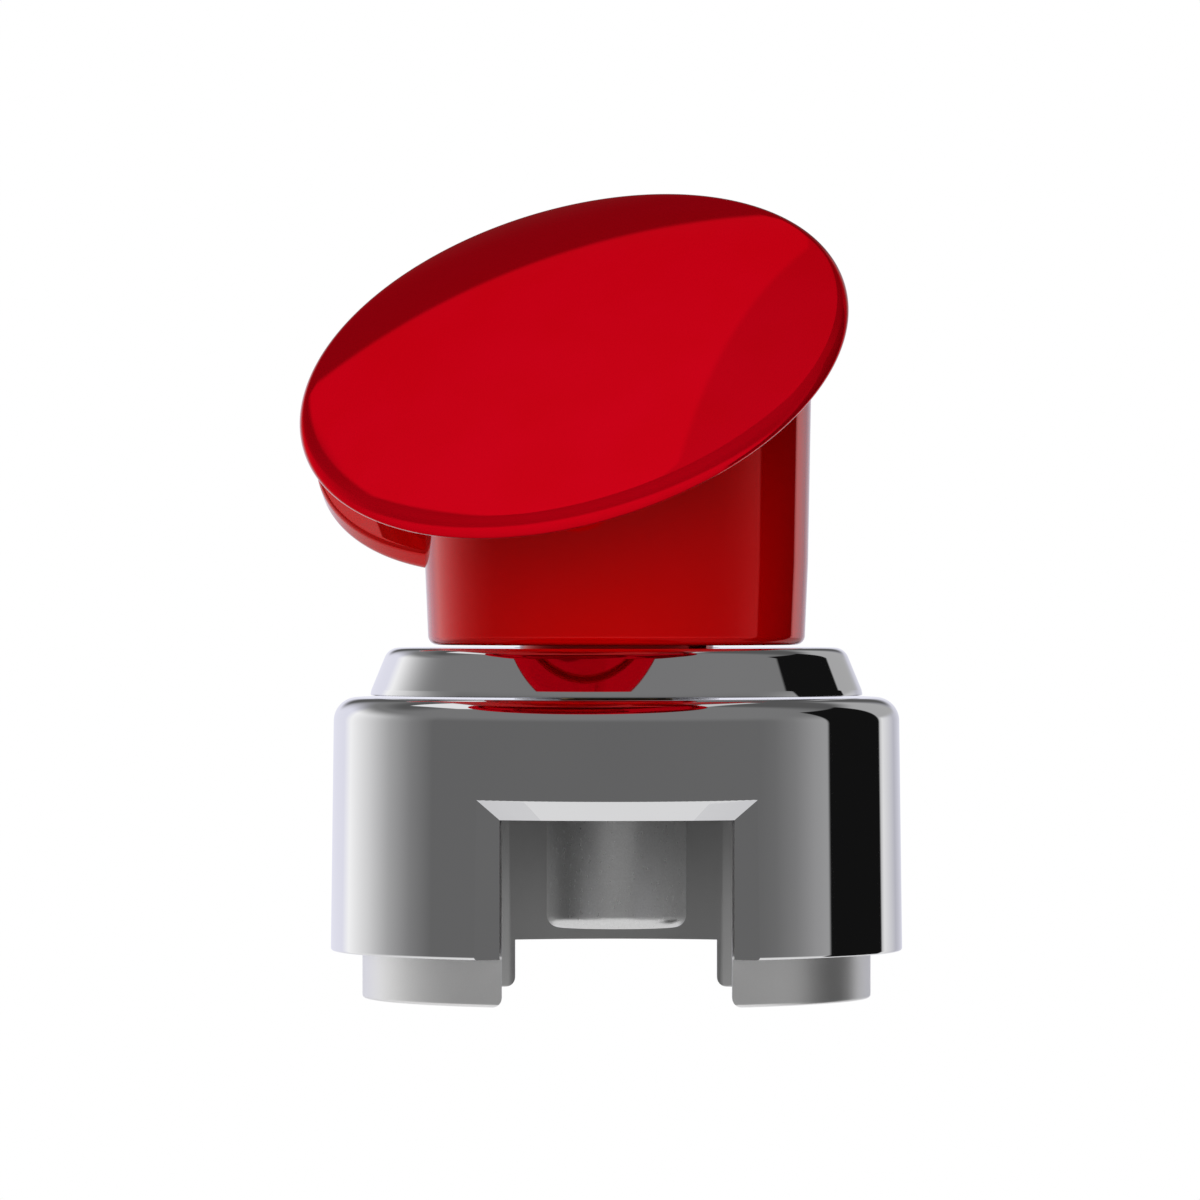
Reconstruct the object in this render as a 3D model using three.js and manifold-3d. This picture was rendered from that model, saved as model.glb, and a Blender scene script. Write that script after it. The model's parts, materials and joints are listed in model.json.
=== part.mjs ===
// Quiz buzzer: a chrome bell base that carries a turning red head with a slanted press disc.
// Millimetres, +Z up. Heights are measured from the leg ends and the whole part is then
// lowered so that the origin lies on the swivel axis in the flat end of the centre boss.
import * as THREE from 'three';
import { mergeVertices } from 'three/addons/utils/BufferGeometryUtils.js';
import Module from 'manifold-3d';

const wasm = await Module();
wasm.setup();

// ---------- driving dimensions ----------
const GAP = 0.2;
const REACH = 60;

const SKIRT = {
  foot: 5.0, footRadius: 30.3, radius: 30.0, top: 31.8, fillet: 2.5, bore: 27.3,
  ceiling: 28.9,
};
const NOTCH = { halfWidth: 12.1, top: 19.4, flareWide: 2.15, flareHigh: 1.9, landRadius: 28.1 };
const COLLAR = {
  foot: 32.0, step: 32.6, footRadius: 26.1, radius: 26.0, slope: 22.4, fillet: 1.6,
  top: 37.05, bore: 10.9,
};
const CUP = { radius: 26.95, bore: 25.35, ceiling: 26.6, top: 28.6, legCorner: 1.0 };
const CUP_FRONT = { halfWidth: 11.9, top: 23.0 };
const CUP_BACK = { halfWidth: 11.0, top: 5.1 };
const BOSS = {
  radius: 7.4, bore: 6.3, foot: 7.4, floor: 9.4, edge: 1.3, flangeRadius: 11.5,
  flangeFoot: 24.6, top: 26.3,
};
const BALLAST = { bore: 12.4, radius: 19.6, foot: 22.6, top: 26.3 };
const BASE_SCREW = {
  circle: 22.5, count: 3, head: 2.0, headFoot: 24.5, shank: 1.2, top: 31.2, hole: 1.5,
  holeTop: 31.45,
};
const BUSH = { bore: 4.08, radius: 6.0, foot: 23.9, flangeRadius: 10.4, flangeFoot: 32.0, top: 34.0 };
const GLIDE = { bore: 4.4, radius: 10.2, foot: 34.2, top: 35.3 };
const SPINDLE = { radius: 4.0, foot: 18.4, flangeRadius: 9.0, flangeFoot: 39.75, top: 41.7 };
const NUT = { radius: 5.7, bore: 4.2, foot: 19.4, top: 22.6 };
const NUT_WASHER = { radius: 6.0, bore: 4.2, foot: 22.8, top: 23.6 };

const DRUM = {
  hubRadius: 10.3, hubFoot: 35.5, foot: 37.35, footRadius: 20.0, edge: 1.0, midRadius: 20.33,
  mid: 46.0,
};
const DRUM_TOP = { radius: 20.7, height: 66.0, wall: 2.3, floor: 39.55, bore: 17.9, hole: 4.3, roof: 64.0 };
const SOUNDER = { bore: 10.2, radius: 16.4, foot: 39.8, top: 43.0, rim: 0.9, floor: 40.8 };
const PIEZO = { bore: 11.4, radius: 15.2, foot: 42.0, top: 42.4 };
const BOARD_BLOCK = { x: 1.0, y: -6.0, radius: 2.5, foot: 41.95 };

// Face frame: its local Z points out of the press disc, its origin is the rim's centre.
const FACE = { x: -4.55, y: -22.0, height: 66.56, yaw: -24.1, tilt: 37.7 };
const CAP = { radius: 29.3, shoulder: 1.6, under: 1.0, crown: 110, recess: 25.8, ceiling: 0.6 };
const HUB = { radius: 7.0, foot: -2.4, bore: 3.25, boreTop: 2.6 };
const STEM = { radius: 3.0, top: 2.3, foot: -16.0 };
const CLIP = { bore: 3.25, radius: 4.3, top: -15.0, foot: -15.7 };
const PRESS_BUSH = { bore: 3.08, radius: 5.6, flangeRadius: 8.0, top: -5.3, flangeFoot: -5.8, foot: -11.0 };
const SEAT = { radius: 23.0, top: -6.0, foot: -8.0, hole: 5.9 };
const BUMPER = { bore: 9.4, radius: 12.4, top: -2.3, foot: -5.8 };
const SEAT_SCREW = {
  circle: 19.4, count: 2, start: 35, head: 1.9, headTop: -5.0, headFoot: -5.8, shank: 0.9,
  foot: -11.2,
};
const SEAT_POST = { radius: 2.3, hole: 1.2, foot: -12.0, holeFoot: -11.5 };

// The waist leans back from the press disc to the rear flange.
const LEAN = { x: 0.6963, y: -1.0105 };
const WAIST = { radius: 23.0, bore: 21.0, top: -8.2, foot: -23.6 };
const DRUM_CUT = { top: -8.2, roof: -10.2 };
const FLANGE = { radius: 27.2, top: -23.4, foot: -26.2, upperEdge: 0.5, lowerEdge: 1.1 };
const DOOR = {
  x: -21.1, y: 31.9, radius: 8.7, hole: 9.0, top: -23.8, foot: -26.2, slotLength: 9.0,
  slotWidth: 1.6, slotDepth: 0.9,
};
const HOLDER = { x: -17.4, y: 26.7, radius: 9.4, bore: 8.3, top: -17.2, floor: -18.2, foot: -23.0 };
const CELL = { radius: 8.0, top: -18.5, foot: -21.7 };
const BOARD = { length: 15.0, width: 10.0, top: -22.3, foot: -23.8 };
const SWITCH = { side: 6.0, top: -19.0, foot: -22.1, plunger: 1.6, plungerTop: -18.6 };
const CHIP = { length: 3.0, width: 4.0, x: 5.4, top: -20.8, foot: -22.1 };

const FINE = 60;
const MEDIUM = 30;
const SMALL = 16;
const ARC_STEPS = 4;
const RADIANS = Math.PI / 180;

// ---------- materials ----------
const CHROME = { color: 0xc8c8cc, roughness: 0.06, metalness: 1.0 };
const SATIN = { color: 0x9a9a9c, roughness: 0.42, metalness: 1.0 };
const STEEL = { color: 0x8d9094, roughness: 0.35, metalness: 1.0 };
const BRONZE = { color: 0xa9803f, roughness: 0.4, metalness: 1.0 };
const RED = { color: 0xb4000f, roughness: 0.08, metalness: 0.4 };
const BLACK_PLASTIC = { color: 0x1c1c1e, roughness: 0.55, metalness: 0.0 };
const WHITE_PLASTIC = { color: 0xd9d9d4, roughness: 0.5, metalness: 0.0 };
const RUBBER = { color: 0x161616, roughness: 0.85, metalness: 0.0 };
const BOARD_GREEN = { color: 0x1d5a33, roughness: 0.5, metalness: 0.0 };
const BRASS = { color: 0xc9a24a, roughness: 0.3, metalness: 1.0 };

// ---------- geometry helpers ----------
function signedVolume(geometry) {
  const place = geometry.attributes.position;
  const order = geometry.index ? geometry.index.array : null;
  const count = order ? order.length : place.count;
  const corner = [new THREE.Vector3(), new THREE.Vector3(), new THREE.Vector3()];
  let volume = 0;
  for (let i = 0; i < count; i += 3) {
    for (let k = 0; k < 3; k += 1) {
      corner[k].fromBufferAttribute(place, order ? order[i + k] : i + k);
    }
    volume += corner[0].dot(corner[1].clone().cross(corner[2]));
  }
  return volume;
}

function facingOut(geometry) {
  const bare = geometry.clone();
  bare.deleteAttribute('normal');
  bare.deleteAttribute('uv');
  const merged = mergeVertices(bare, 1e-5);
  if (signedVolume(merged) < 0) {
    const order = merged.index.array;
    for (let i = 0; i < order.length; i += 3) {
      [order[i + 1], order[i + 2]] = [order[i + 2], order[i + 1]];
    }
  }
  return merged;
}

function toSolid(geometry) {
  const merged = facingOut(geometry);
  const mesh = new wasm.Mesh({
    numProp: 3,
    vertProperties: new Float32Array(merged.attributes.position.array),
    triVerts: new Uint32Array(merged.index.array),
  });
  return new wasm.Manifold(mesh);
}

function toGeometry(solid) {
  const mesh = solid.getMesh();
  const geometry = new THREE.BufferGeometry();
  geometry.setAttribute('position', new THREE.BufferAttribute(new Float32Array(mesh.vertProperties), 3));
  geometry.setIndex(new THREE.BufferAttribute(new Uint32Array(mesh.triVerts), 1));
  return geometry;
}

function arc(centreX, centreY, radius, from, to, steps = ARC_STEPS) {
  const points = [];
  for (let i = 0; i <= steps; i += 1) {
    const angle = (from + ((to - from) * i) / steps) * RADIANS;
    points.push([centreX + radius * Math.cos(angle), centreY + radius * Math.sin(angle)]);
  }
  return points;
}

// A turned solid: the profile is a list of [radius, height] pairs.
function turned(profile, segments = MEDIUM) {
  const points = profile.map(([radius, height]) => new THREE.Vector2(radius, height));
  const first = profile[0];
  const last = profile[profile.length - 1];
  if (first[0] > 0 || last[0] > 0) {
    points.push(points[0].clone());
  }
  const geometry = new THREE.LatheGeometry(points, segments);
  geometry.rotateX(Math.PI / 2);
  return geometry;
}

function ring(bore, radius, foot, top, segments = MEDIUM) {
  return turned([[bore, foot], [radius, foot], [radius, top], [bore, top]], segments);
}

function rod(radius, foot, top, segments = SMALL) {
  return turned([[0, foot], [radius, foot], [radius, top], [0, top]], segments);
}

function block(length, width, foot, top) {
  const geometry = new THREE.BoxGeometry(length, width, top - foot);
  geometry.translate(0, 0, (foot + top) / 2);
  return geometry;
}

function extrudedAlongY(shape, from, to) {
  const settings = { depth: to - from, bevelEnabled: false, curveSegments: ARC_STEPS };
  const geometry = new THREE.ExtrudeGeometry(shape, settings);
  geometry.rotateX(Math.PI / 2);
  geometry.translate(0, to, 0);
  return geometry;
}

function aroundAxis(count, circle, start, make) {
  return Array.from({ length: count }, (unused, index) => {
    const angle = (start + (360 * index) / count) * RADIANS;
    return make(circle * Math.cos(angle), circle * Math.sin(angle), index + 1);
  });
}

function leaned(geometry) {
  const lean = new THREE.Matrix4().set(1, 0, LEAN.x, 0, 0, 1, LEAN.y, 0, 0, 0, 1, 0, 0, 0, 0, 1);
  return geometry.applyMatrix4(lean);
}

function leanAt(height) {
  return { x: LEAN.x * height, y: LEAN.y * height };
}

function faceMatrix() {
  const turn = new THREE.Matrix4().makeRotationZ(FACE.yaw * RADIANS);
  const tip = new THREE.Matrix4().makeRotationX(FACE.tilt * RADIANS);
  return new THREE.Matrix4().makeTranslation(FACE.x, FACE.y, FACE.height).multiply(turn).multiply(tip);
}

function inHead(geometry) {
  return geometry.applyMatrix4(faceMatrix());
}

function piece(name, geometry, look) {
  const shape = facingOut(geometry);
  shape.computeVertexNormals();
  const mesh = new THREE.Mesh(shape, new THREE.MeshStandardMaterial(look));
  mesh.name = name;
  return mesh;
}

function placed(mesh, x, y, z = 0) {
  mesh.position.set(x, y, z);
  return mesh;
}

// ---------- base ----------
// The window cutter widens from the land radius outwards, which leaves the mitred bevel.
function windowCutter() {
  const columns = 16;
  const spread = (REACH / 2 - NOTCH.landRadius + 4) / (SKIRT.radius - NOTCH.landRadius);
  const levels = [
    { radius: SKIRT.bore - 5, half: NOTCH.halfWidth, top: NOTCH.top },
    { radius: NOTCH.landRadius, half: NOTCH.halfWidth, top: NOTCH.top },
    {
      radius: NOTCH.landRadius + spread * (SKIRT.radius - NOTCH.landRadius),
      half: NOTCH.halfWidth + spread * NOTCH.flareWide,
      top: NOTCH.top + spread * NOTCH.flareHigh,
    },
  ];
  const foot = SKIRT.foot - 2;
  const places = [];
  const order = [];
  const perLevel = 2 * (columns + 1);
  for (const level of levels) {
    for (const height of [foot, level.top]) {
      for (let i = 0; i <= columns; i += 1) {
        const x = level.half * ((2 * i) / columns - 1);
        places.push(x, -Math.sqrt(level.radius ** 2 - x ** 2), height);
      }
    }
  }
  const quad = (a, b, c, d) => order.push(a, b, c, a, c, d);
  const low = (level, i) => level * perLevel + i;
  const high = (level, i) => level * perLevel + columns + 1 + i;
  for (let i = 0; i < columns; i += 1) {
    quad(low(0, i), high(0, i), high(0, i + 1), low(0, i + 1));
    quad(low(2, i), low(2, i + 1), high(2, i + 1), high(2, i));
    for (let level = 0; level < 2; level += 1) {
      quad(low(level, i), low(level, i + 1), low(level + 1, i + 1), low(level + 1, i));
      quad(high(level, i), high(level + 1, i), high(level + 1, i + 1), high(level, i + 1));
    }
  }
  for (let level = 0; level < 2; level += 1) {
    quad(low(level, 0), low(level + 1, 0), high(level + 1, 0), high(level, 0));
    quad(low(level, columns), high(level, columns), high(level + 1, columns), low(level + 1, columns));
  }
  const geometry = new THREE.BufferGeometry();
  geometry.setAttribute('position', new THREE.Float32BufferAttribute(places, 3));
  geometry.setIndex(order);
  return toSolid(geometry);
}

function screwHoles(radius, foot, top) {
  const holes = aroundAxis(BASE_SCREW.count, BASE_SCREW.circle, 90, (x, y) => {
    const hole = rod(radius, foot, top);
    hole.translate(x, y, 0);
    return toSolid(hole);
  });
  return holes.reduce((all, hole) => all.add(hole));
}

function bellSkirt() {
  const filletFoot = SKIRT.top - SKIRT.fillet;
  const body = toSolid(turned([
    [SKIRT.bore, SKIRT.foot],
    [SKIRT.footRadius, SKIRT.foot],
    ...arc(SKIRT.radius - SKIRT.fillet, filletFoot, SKIRT.fillet, 0, 90),
    [BOSS.bore, SKIRT.top],
    [BOSS.bore, SKIRT.ceiling],
    [SKIRT.bore, SKIRT.ceiling],
  ], FINE));
  const holes = screwHoles(BASE_SCREW.hole, SKIRT.ceiling - 1, BASE_SCREW.holeTop);
  return toGeometry(body.subtract(windowCutter()).subtract(holes));
}

function collarRing() {
  const slope = COLLAR.slope * RADIANS;
  const centreHeight = COLLAR.top - COLLAR.fillet;
  const wallRadius = COLLAR.radius - (centreHeight - COLLAR.step) * Math.tan(slope);
  const centreRadius = wallRadius - COLLAR.fillet / Math.cos(slope);
  return turned([
    [COLLAR.bore, COLLAR.foot],
    [COLLAR.footRadius, COLLAR.foot],
    [COLLAR.radius, COLLAR.step],
    ...arc(centreRadius, centreHeight, COLLAR.fillet, COLLAR.slope, 90),
    [COLLAR.bore, COLLAR.top],
  ], FINE);
}

// A gap between two legs, with the leg ends rounded at its mouth.
function legGap(gap, from, to) {
  const outer = gap.halfWidth + CUP.legCorner;
  const shape = new THREE.Shape();
  shape.moveTo(-outer, -1);
  shape.lineTo(outer, -1);
  shape.lineTo(outer, 0);
  shape.absarc(outer, CUP.legCorner, CUP.legCorner, -Math.PI / 2, Math.PI, true);
  shape.lineTo(gap.halfWidth, gap.top);
  shape.lineTo(-gap.halfWidth, gap.top);
  shape.lineTo(-gap.halfWidth, CUP.legCorner);
  shape.absarc(-outer, CUP.legCorner, CUP.legCorner, 0, -Math.PI / 2, true);
  return toSolid(extrudedAlongY(shape, from, to));
}

function mountCup() {
  const body = toSolid(turned([
    [CUP.bore, 0],
    [CUP.radius, 0],
    [CUP.radius, CUP.top],
    [BOSS.bore, CUP.top],
    [BOSS.bore, CUP.ceiling],
    [CUP.bore, CUP.ceiling],
  ], FINE));
  const front = legGap(CUP_FRONT, -REACH / 2, -CUP.bore / 2);
  const back = legGap(CUP_BACK, CUP.bore / 2, REACH / 2);
  const holes = screwHoles(BASE_SCREW.hole, CUP.ceiling - 1, CUP.top + 1);
  return toGeometry(body.subtract(front).subtract(back).subtract(holes));
}

function centreBoss() {
  return turned([
    [0, BOSS.foot],
    ...arc(BOSS.radius - BOSS.edge, BOSS.foot + BOSS.edge, BOSS.edge, -90, 0, 3),
    [BOSS.radius, BOSS.flangeFoot],
    [BOSS.flangeRadius, BOSS.flangeFoot],
    [BOSS.flangeRadius, BOSS.top],
    [BOSS.bore, BOSS.top],
    [BOSS.bore, BOSS.floor],
    [0, BOSS.floor],
  ], MEDIUM);
}

function swivelBush() {
  return turned([
    [BUSH.bore, BUSH.foot],
    [BUSH.radius, BUSH.foot],
    [BUSH.radius, BUSH.flangeFoot],
    [BUSH.flangeRadius, BUSH.flangeFoot],
    [BUSH.flangeRadius, BUSH.top],
    [BUSH.bore, BUSH.top],
  ], MEDIUM);
}

function headedScrew(head, headFoot, headTop, shank, shankEnd) {
  if (shankEnd > headTop) {
    return turned([
      [0, headFoot],
      [head, headFoot],
      [head, headTop],
      [shank, headTop],
      [shank, shankEnd],
      [0, shankEnd],
    ], SMALL);
  }
  return turned([
    [0, shankEnd],
    [shank, shankEnd],
    [shank, headFoot],
    [head, headFoot],
    [head, headTop],
    [0, headTop],
  ], SMALL);
}

function buildBase() {
  const base = new THREE.Group();
  base.name = 'base';
  base.add(piece('bell_skirt', bellSkirt(), CHROME));
  base.add(piece('collar_ring', collarRing(), CHROME));
  base.add(piece('mount_cup', mountCup(), SATIN));
  base.add(piece('centre_boss', centreBoss(), SATIN));
  base.add(piece('ballast_ring', ring(BALLAST.bore, BALLAST.radius, BALLAST.foot, BALLAST.top), STEEL));
  base.add(piece('swivel_bush', swivelBush(), BRONZE));
  base.add(piece('glide_washer', ring(GLIDE.bore, GLIDE.radius, GLIDE.foot, GLIDE.top), WHITE_PLASTIC));
  aroundAxis(BASE_SCREW.count, BASE_SCREW.circle, 90, (x, y, number) => {
    const shape = headedScrew(BASE_SCREW.head, BASE_SCREW.headFoot, BOSS.top, BASE_SCREW.shank, BASE_SCREW.top);
    base.add(placed(piece(`base_screw_${number}`, shape, STEEL), x, y));
  });
  return base;
}

// ---------- head ----------
function drumProfile() {
  return turned([
    [0, DRUM.hubFoot],
    [DRUM.hubRadius, DRUM.hubFoot],
    [DRUM.hubRadius, DRUM.foot],
    ...arc(DRUM.footRadius - DRUM.edge, DRUM.foot + DRUM.edge, DRUM.edge, -90, 0, 3),
    [DRUM.midRadius, DRUM.mid],
    [DRUM_TOP.radius, DRUM_TOP.height],
    [0, DRUM_TOP.height],
  ], FINE);
}

function underFace(level) {
  return toSolid(inHead(block(2 * REACH, 2 * REACH, level - 2 * REACH, level)));
}

function flangeDisc() {
  const centre = leanAt((FLANGE.top + FLANGE.foot) / 2);
  const disc = turned([
    [0, FLANGE.foot],
    ...arc(FLANGE.radius - FLANGE.lowerEdge, FLANGE.foot + FLANGE.lowerEdge, FLANGE.lowerEdge, -90, 0, 3),
    ...arc(FLANGE.radius - FLANGE.upperEdge, FLANGE.top - FLANGE.upperEdge, FLANGE.upperEdge, 0, 90, 2),
    [0, FLANGE.top],
  ], FINE);
  disc.translate(centre.x, centre.y, 0);
  return toSolid(inHead(disc));
}

function seatPosts(radius, foot) {
  const centre = leanAt(SEAT.foot);
  const posts = aroundAxis(SEAT_SCREW.count, SEAT_SCREW.circle, SEAT_SCREW.start, (x, y) => {
    const post = rod(radius, foot, WAIST.top);
    post.translate(centre.x + x, centre.y + y, 0);
    return toSolid(inHead(post));
  });
  return posts.reduce((all, post) => all.add(post));
}

function headShell() {
  const drum = toSolid(drumProfile()).intersect(underFace(DRUM_CUT.top));
  const waist = toSolid(inHead(leaned(rod(WAIST.radius, WAIST.foot, WAIST.top, FINE))));
  const outside = drum.add(waist).add(flangeDisc());
  const drumRoom = toSolid(rod(DRUM_TOP.bore, DRUM_TOP.floor, DRUM_TOP.roof, FINE));
  const drumSpace = drumRoom.intersect(underFace(DRUM_CUT.roof));
  const waistSpace = toSolid(inHead(leaned(rod(WAIST.bore, FLANGE.top, WAIST.top + 1, FINE))));
  const spindleHole = toSolid(rod(DRUM_TOP.hole, DRUM.hubFoot - 1, DRUM_TOP.floor + 1));
  const doorHole = rod(DOOR.hole, FLANGE.foot - 1, FLANGE.top + 1, MEDIUM);
  doorHole.translate(DOOR.x, DOOR.y, 0);
  const shell = outside.subtract(drumSpace).subtract(waistSpace).subtract(spindleHole);
  const posted = shell.subtract(toSolid(inHead(doorHole))).add(seatPosts(SEAT_POST.radius, SEAT_POST.foot));
  return toGeometry(posted.subtract(seatPosts(SEAT_POST.hole, SEAT_POST.holeFoot)));
}

function seatPlate() {
  const centre = leanAt(SEAT.foot);
  const plate = rod(SEAT.radius, SEAT.foot, SEAT.top, FINE);
  plate.translate(centre.x, centre.y, 0);
  const holes = aroundAxis(SEAT_SCREW.count, SEAT_SCREW.circle, SEAT_SCREW.start, (x, y) => {
    const hole = rod(SEAT_POST.hole, SEAT.foot - 1, SEAT.top + 1);
    hole.translate(centre.x + x, centre.y + y, 0);
    return toSolid(hole);
  });
  const bushHole = toSolid(rod(SEAT.hole, SEAT.foot - 1, SEAT.top + 1, MEDIUM));
  return toGeometry(holes.reduce((left, hole) => left.subtract(hole), toSolid(plate).subtract(bushHole)));
}

function pressBush() {
  return turned([
    [PRESS_BUSH.bore, PRESS_BUSH.foot],
    [PRESS_BUSH.radius, PRESS_BUSH.foot],
    [PRESS_BUSH.radius, PRESS_BUSH.flangeFoot],
    [PRESS_BUSH.flangeRadius, PRESS_BUSH.flangeFoot],
    [PRESS_BUSH.flangeRadius, PRESS_BUSH.top],
    [PRESS_BUSH.bore, PRESS_BUSH.top],
  ], MEDIUM);
}

function batteryHolder() {
  return turned([
    [0, HOLDER.top],
    [HOLDER.radius, HOLDER.top],
    [HOLDER.radius, HOLDER.foot],
    [HOLDER.bore, HOLDER.foot],
    [HOLDER.bore, HOLDER.floor],
    [0, HOLDER.floor],
  ], MEDIUM);
}

function batteryDoor() {
  const disc = toSolid(rod(DOOR.radius, DOOR.foot, DOOR.top, MEDIUM));
  const slot = toSolid(block(DOOR.slotLength, DOOR.slotWidth, DOOR.foot - 1, DOOR.foot + DOOR.slotDepth));
  return toGeometry(disc.subtract(slot));
}

function switchBody() {
  const body = toSolid(block(SWITCH.side, SWITCH.side, SWITCH.foot, SWITCH.top));
  return toGeometry(body.add(toSolid(rod(SWITCH.plunger, SWITCH.top - 1, SWITCH.plungerTop))));
}

function sounderCase() {
  return turned([
    [SOUNDER.bore, SOUNDER.foot],
    [SOUNDER.radius, SOUNDER.foot],
    [SOUNDER.radius, SOUNDER.top],
    [SOUNDER.radius - SOUNDER.rim, SOUNDER.top],
    [SOUNDER.radius - SOUNDER.rim, SOUNDER.floor],
    [SOUNDER.bore + SOUNDER.rim, SOUNDER.floor],
    [SOUNDER.bore + SOUNDER.rim, SOUNDER.top],
    [SOUNDER.bore, SOUNDER.top],
  ], MEDIUM);
}

function boardBlock() {
  const column = rod(BOARD_BLOCK.radius, BOARD_BLOCK.foot, FACE.height);
  column.translate(BOARD_BLOCK.x, BOARD_BLOCK.y, 0);
  return toGeometry(toSolid(column).intersect(underFace(BOARD.foot - GAP)));
}

function swivelSpindle() {
  return turned([
    [0, SPINDLE.foot],
    [SPINDLE.radius, SPINDLE.foot],
    [SPINDLE.radius, SPINDLE.flangeFoot],
    [SPINDLE.flangeRadius, SPINDLE.flangeFoot],
    [SPINDLE.flangeRadius, SPINDLE.top],
    [0, SPINDLE.top],
  ], MEDIUM);
}

function spindleNut() {
  const hexagon = toSolid(rod(NUT.radius, NUT.foot, NUT.top, 6));
  return toGeometry(hexagon.subtract(toSolid(rod(NUT.bore, NUT.foot - 1, NUT.top + 1, MEDIUM))));
}

function faceGroup(name) {
  const group = new THREE.Group();
  group.name = name;
  group.rotation.set(FACE.tilt * RADIANS, 0, FACE.yaw * RADIANS, 'ZYX');
  group.position.set(FACE.x, FACE.y, FACE.height);
  return group;
}

function buildHead() {
  const head = new THREE.Group();
  head.name = 'head';
  head.add(piece('head_shell', headShell(), RED));
  head.add(piece('sounder_case', sounderCase(), BLACK_PLASTIC));
  head.add(piece('piezo_ring', ring(PIEZO.bore, PIEZO.radius, PIEZO.foot, PIEZO.top), BRASS));
  head.add(piece('board_block', boardBlock(), BLACK_PLASTIC));
  head.add(piece('swivel_spindle', swivelSpindle(), STEEL));
  head.add(piece('spindle_nut', spindleNut(), STEEL));
  const nutWasher = ring(NUT_WASHER.bore, NUT_WASHER.radius, NUT_WASHER.foot, NUT_WASHER.top);
  head.add(piece('nut_washer', nutWasher, STEEL));

  const face = faceGroup('head_face');
  const centre = leanAt(SEAT.foot);
  face.add(piece('seat_plate', seatPlate(), RED));
  face.add(piece('stem_bush', pressBush(), BRONZE));
  face.add(piece('bumper_ring', ring(BUMPER.bore, BUMPER.radius, BUMPER.foot, BUMPER.top), RUBBER));
  aroundAxis(SEAT_SCREW.count, SEAT_SCREW.circle, SEAT_SCREW.start, (x, y, number) => {
    const shape = headedScrew(
      SEAT_SCREW.head,
      SEAT_SCREW.headFoot,
      SEAT_SCREW.headTop,
      SEAT_SCREW.shank,
      SEAT_SCREW.foot,
    );
    face.add(placed(piece(`seat_screw_${number}`, shape, STEEL), centre.x + x, centre.y + y));
  });
  face.add(placed(piece('battery_holder', batteryHolder(), BLACK_PLASTIC), HOLDER.x, HOLDER.y));
  const cell = piece('coin_cell', rod(CELL.radius, CELL.foot, CELL.top, MEDIUM), STEEL);
  face.add(placed(cell, HOLDER.x, HOLDER.y));
  face.add(placed(piece('battery_door', batteryDoor(), RED), DOOR.x, DOOR.y));
  face.add(piece('circuit_board', block(BOARD.length, BOARD.width, BOARD.foot, BOARD.top), BOARD_GREEN));
  face.add(piece('switch_body', switchBody(), BLACK_PLASTIC));
  const chip = piece('driver_chip', block(CHIP.length, CHIP.width, CHIP.foot, CHIP.top), BLACK_PLASTIC);
  face.add(placed(chip, CHIP.x, 0));
  head.add(face);
  return head;
}

// ---------- press cap ----------
// The face is a shallow dome that meets the rounded rim without a crease.
function pressCap() {
  const rimCentre = CAP.radius - CAP.shoulder;
  const rimTilt = Math.asin(rimCentre / (CAP.crown - CAP.shoulder)) / RADIANS;
  const crownY = (CAP.shoulder - CAP.crown) * Math.cos(rimTilt * RADIANS);
  return turned([
    ...arc(0, crownY, CAP.crown, 90, 90 - rimTilt, 7),
    ...arc(rimCentre, 0, CAP.shoulder, 90 - rimTilt, 0).slice(1),
    ...arc(CAP.radius - CAP.under, 0, CAP.under, 0, -90, 3).slice(1),
    [CAP.recess, -CAP.under],
    [CAP.recess, CAP.ceiling],
    [HUB.radius, CAP.ceiling],
    [HUB.radius, HUB.foot],
    [HUB.bore, HUB.foot],
    [HUB.bore, HUB.boreTop],
    [0, HUB.boreTop],
  ], FINE);
}

function buildCap() {
  const cap = faceGroup('cap');
  cap.add(piece('press_cap', pressCap(), RED));
  cap.add(piece('cap_stem', rod(STEM.radius, STEM.foot, STEM.top, MEDIUM), STEEL));
  cap.add(piece('stem_clip', ring(CLIP.bore, CLIP.radius, CLIP.foot, CLIP.top), STEEL));
  return cap;
}

const buzzer = new THREE.Group();
buzzer.name = 'quiz_buzzer';
buzzer.position.set(0, 0, -BOSS.foot);
buzzer.add(buildBase());
buzzer.add(buildHead());
buzzer.add(buildCap());

export default buzzer;
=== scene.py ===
"""Looks of the quiz buzzer: fine visible pieces, materials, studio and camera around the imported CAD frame."""

import json
import math

import bmesh
import bpy
from mathutils import Matrix, Vector

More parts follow.
